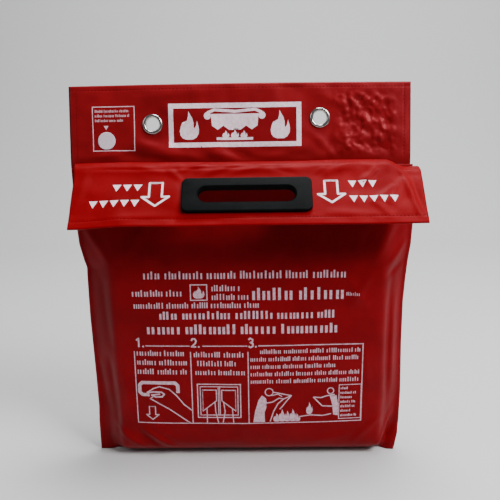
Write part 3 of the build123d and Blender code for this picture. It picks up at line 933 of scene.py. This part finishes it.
def flap_surface(x, t):
    y, z = flap_at(t)
    down = t - FLAP_ZERO
    loose = step(down, -6, 8)
    clamped = np.maximum(np.abs(x - GRIP_X) - 56, np.abs(down - GRIP_DOWN) - 17)
    free = step(clamped, 0, 9)
    hem = step(down, 64, 57)
    lively = 0.22 + 0.25 * step(x, 50, 100)
    bumps = 0.6 * ripples(x, down, 28, 61) + lively * ripples(x, down, 10, 62)
    bumps = bumps + creases(x, -down, flap_folds)
    sewn = -0.3 * np.exp(-((down - HEM_LINE) ** 2))
    bumps = (bumps * hem + sewn) * free * loose
    ridge = 0.6 * ripples(x, down * 0.3, 26, 63) + 0.4 * ripples(x, down * 0.3, 60, 65)
    ridge = ridge * np.exp(-((down / 8) ** 2))
    ridge = ridge + 0.9 * step(x, 20, 110) * np.exp(-((down / 10) ** 2))
    droop = step(x, 120, 138) * np.exp(-(((down - 1) / 13) ** 2))
    droop_left = step(x, -100, -146) * step(down, 10, 60)
    waves = bumps + 1.1 * ripples(x, down * 0.2, 55, 64) * step(down, 40, 63) * free
    ys = y + flap_out[0] * waves - 1.6 * droop
    zs = z + flap_out[1] * waves + ridge - 7.0 * droop - 2.2 * droop_left
    shift = FLAP_SHIFT * step(down, -14, 2) - 1.2 * step(x, -120, -146) * step(down, 20, 0)
    return np.stack([x + shift, ys, zs], -1)


flap_rows = np.concatenate([
    np.linspace(0, 22, 26), np.linspace(23, FLAP_ZERO + 56, 42),
    np.linspace(FLAP_ZERO + 57, FLAP_ZERO + 61.5, 6), np.linspace(FLAP_ZERO + 62, flap_length, 22),
])
pull_flap = cloth_piece(
    "pull_flap_sheet", flap_surface, np.linspace(-149, 149, 200), flap_rows, -1, 0.9, flap_vinyl,
    [(GRIP_X - FLAP_SHIFT, FLAP_ZERO + GRIP_DOWN, 33.8, 9.2)],
)
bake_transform(pull_flap)
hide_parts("pull_flap")
hem_run = (-147, FLAP_ZERO + HEM_LINE, 147, FLAP_ZERO + HEM_LINE)
hem_stitches = sew("flap_hem_stitches", flap_surface, -1, [hem_run], 0.42, thread)
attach(hem_stitches, "flap")
flap_art = pointers(-111, -84, -29.6, 6.6, 3) + pointers(-129.5, -85.5, -45.0, 6.6, 5)
flap_art += arrow_down(-73.0, -21.6, 23.4, 22.6, 1.8) + arrow_down(75.5, -21.8, 22.8, 21.4, 1.8)
flap_art += pointers(89.5, 115, -28.4, 6.6, 3) + pointers(89.5, 132, -43.6, 6.6, 5)
flap_art = [[(px - FLAP_SHIFT, FLAP_ZERO - pt) for px, pt in shape] for shape in flap_art]
flap_print = print_on("flap_print", flap_surface, -1, flap_art, 0.52, ink_white, 2.5)
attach(flap_print, "flap")

# -------- finger grip
# Two moulded black plastic plates clamp the flap between them. The front one carries the
# slot collar and four pegs that snap into the rear one. Its face has a fine spark grain.
plastic, plastic_tree, plastic_shader, plastic_spot, plastic_wear = toned(
    "black_plastic", 70.0, 6.0, [(0.35, (0.0022, 0.0026, 0.0028)), (0.75, (0.0050, 0.0058, 0.0062))],
    patchy=0.65, Roughness=0.5, Specular_IOR_Level=0.05,
)
vary_roughness(plastic_tree, plastic_shader, plastic_wear, 0.34, 0.50)
add_bump(plastic_tree, plastic_shader, noise(plastic_tree, plastic_spot, 2200.0, 3.0), 0.00006)
for name in ("grip_front_plate", "grip_rear_plate"):
    finish_cad(name, plastic, 30)

# -------- folded blanket
# A woven glass-fibre cloth of 1.6 by 1.8 metres, folded in seven across its width and then
# in ten along its length, so that it drops open when the top edge is pulled out.
glass_cloth, glass_tree, glass_shader, glass_spot, _ = toned(
    "glass_cloth", 60.0, 5.0, [(0.3, (0.56, 0.54, 0.47)), (0.7, (0.74, 0.73, 0.67))],
    Roughness=0.8, Sheen_Weight=0.25,
)
glass_weave = weave_height(glass_tree, glass_spot, 180.0, 0.6, "ADD")
add_bump(glass_tree, glass_shader, glass_weave, 0.00012)
BLANKET_WIDTH, BLANKET_LENGTH = 1600.0, 1800.0
LAYER, FOLD = 0.38, 2.82  # from layer to layer within a fold, and from fold to fold
BLANKET_LIFT = 5.5  # how far the cloth sits above the middle of its simple block
bundle_low, bundle_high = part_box("folded_blanket")


def fan_fold(total, panels, gap, steps, turns):
    """A strip folded back and forth. Returns distance, place along, place across, and turn."""
    radius = gap / 2
    straight = (total - (panels - 1) * pi * radius) / panels
    rows, travelled = [], 0.0
    for panel in range(panels):
        way = 1 if panel % 2 == 0 else -1
        begin, end = (0.0, straight) if way == 1 else (straight, 0.0)
        level = (panel - (panels - 1) / 2) * gap
        facing = 0.0 if way == 1 else pi
        for k in np.linspace(0, 1, steps):
            rows.append((travelled + k * straight, begin + way * k * straight, level, facing))
        travelled += straight
        if panel < panels - 1:
            for a in pi * np.linspace(0, 1, turns + 2)[1:-1]:
                place, rise = end + way * radius * sin(a), level + radius * (1 - cos(a))
                rows.append((travelled + a * radius, place, rise, a if way == 1 else pi - a))
            travelled += pi * radius
    return np.array(rows), straight


across_rows, across_straight = fan_fold(BLANKET_WIDTH, 7, LAYER, 12, 5)
along_rows, along_straight = fan_fold(BLANKET_LENGTH, 10, FOLD, 11, 7)
A, B = np.meshgrid(np.arange(len(across_rows)), np.arange(len(along_rows)))
across_far, along_far = across_rows[A, 0], along_rows[B, 0]
layer_out, fold_turn = across_rows[A, 2], along_rows[B, 3]
blanket_x = across_rows[A, 1] - across_straight / 2 + 0.8 * ripples(along_far, across_far, 170, 71)
blanket_y = along_rows[B, 2] + np.cos(fold_turn) * layer_out
blanket_z = along_rows[B, 1] - along_straight / 2 - np.sin(fold_turn) * layer_out
middle_z = (bundle_low.z + bundle_high.z) / 2 / MM + BLANKET_LIFT
slack = 1.2 * ripples(across_far, along_far, 230, 72)
soft = 0.7 * ripples(blanket_x, blanket_z, 40, 73) + 0.5 * ripples(blanket_x, blanket_z, 17, 74)
verts = np.stack([blanket_x, blanket_y + soft, middle_z + blanket_z + slack], -1).reshape(-1, 3)
quads = grid_quads(A.shape)
cloth_uv = np.stack([across_far, along_far], -1).reshape(-1, 2)
blanket = link_mesh("glass_blanket", verts, quads.reshape(-1, 4).tolist(), glass_cloth, cloth_uv)
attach(blanket, "pouch")
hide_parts("folded_blanket")

# -------- grab tabs
# Two black webbing loops sewn to the blanket's top edge show where the hands go. Each is a
# strip of woven webbing with ribs across it, doubled over.
webbing, webbing_tree, webbing_shader, webbing_spot, _ = toned(
    "black_webbing", 300.0, 4.0, [(0.3, (0.007, 0.007, 0.008)), (0.7, (0.020, 0.020, 0.022))],
    Roughness=0.75, Specular_IOR_Level=0.15, Sheen_Weight=0.08,
)
webbing_ribs = node(
    webbing_tree, "ShaderNodeTexWave", bands_direction="Y", _Scale=260.0, _Distortion=0.8
)
webbing_tree.links.new(webbing_spot.outputs["UV"], webbing_ribs.inputs["Vector"])
add_bump(webbing_tree, webbing_shader, webbing_ribs.outputs["Fac"], 0.0002)
WEBBING_WIDE, WEBBING_THICK = 25.0, 1.3
for side in ("left", "right"):
    low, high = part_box("grab_tab_" + side)
    low, high = low / MM, high / MM
    half, foot, top = (high.y - low.y) / 2 - 0.75, low.z - 12.0, high.z - 0.75
    loop_points = [(half, foot), (half, low.z), (half + 0.3, low.z + 10), (half, top - 5)]
    loop_points += [(half * 0.7, top - 1.2), (0, top)]
    loop_points += [(-y, z) for y, z in reversed(loop_points[:-1])]
    loop_length, loop_at, _ = smooth_path(loop_points)

    def loop_surface(x, t, centre=(low.x + high.x) / 2, at=loop_at):
        y, z = at(t)
        return np.stack([centre + x, y, z], -1)

    across, along = np.linspace(-0.5, 0.5, 20) * WEBBING_WIDE, np.linspace(0, loop_length, 70)
    tab = cloth_piece("grab_loop_" + side, loop_surface, across, along, -1, WEBBING_THICK, webbing)
    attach(tab, "pouch")
    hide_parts("grab_tab_" + side)

# -------- floor, light and camera
# A pale seamless sheet under and behind the pouch. The main light stands high in front on the
# right, with a smaller one overhead, a weak one on the left and one over the sheet behind. A
# weak glow comes from all around.
paper, _, paper_shader = new_material("studio_paper", Roughness=0.9)
paper_shader.inputs["Base Color"].default_value = (0.64, 0.64, 0.64, 1)
sweep_points = [(-430, 0), (-200, 0), (0, 0), (700, 0), (1000, 30), (1250, 200), (1380, 500)]
sweep_points += [(1420, 1000), (1430, 1800)]
sweep_length, sweep_at, _ = smooth_path(sweep_points)


def sweep_surface(x, t):
    y, z = sweep_at(t)
    return np.stack([x, y, z - 0.1], -1)


sweep = cloth_piece(
    "backdrop", sweep_surface, np.linspace(-2500, 2500, 12), np.linspace(0, sweep_length, 90),
    1, 0.2, paper,
)


def soft_light(name, place, aim, size, power):
    data = bpy.data.lights.new(name, "AREA")
    data.shape, data.size, data.energy = "SQUARE", size, power
    made = bpy.data.objects.new(name, data)
    made.location = place
    made.rotation_euler = (Vector(aim) - Vector(place)).to_track_quat("-Z", "Y").to_euler()
    bpy.context.scene.collection.objects.link(made)


soft_light("key_light", (0.98, -0.68, 1.28), (0, -0.02, 0.18), 0.7, 31)
soft_light("top_light", (0.15, 0.05, 1.50), (0, -0.02, 0.2), 0.5, 14)
soft_light("fill_light", (-1.3, -0.35, 1.0), (0, 0, 0.2), 0.8, 3)
soft_light("back_light", (0.3, 0.40, 2.0), (0.1, 1.3, 0.2), 1.2, 24)
world = bpy.data.worlds.new("room")
world.use_nodes = True
glow = world.node_tree.nodes["Background"]
glow.inputs["Color"].default_value = (0.92, 0.95, 1.0, 1)
glow.inputs["Strength"].default_value = 0.16
bpy.context.scene.world = world

PITCH, YAW, ROLL = radians(13.17), radians(-0.75), radians(-0.85)
view = Vector((sin(YAW) * cos(PITCH), cos(YAW) * cos(PITCH), -sin(PITCH)))
level = Vector((cos(YAW), -sin(YAW), 0))
upright = level.cross(view)
right = cos(ROLL) * level + sin(ROLL) * upright
above = -sin(ROLL) * level + cos(ROLL) * upright
camera_data = bpy.data.cameras.new("camera")
camera_data.lens, camera_data.sensor_width = 43.2, 36.0
camera = bpy.data.objects.new("camera", camera_data)
turn = Matrix((right, above, -view)).transposed().to_4x4()
camera.matrix_world = Matrix.Translation((0.0128, -0.5343, 0.3254)) @ turn
bpy.context.scene.collection.objects.link(camera)
bpy.context.scene.camera = camera
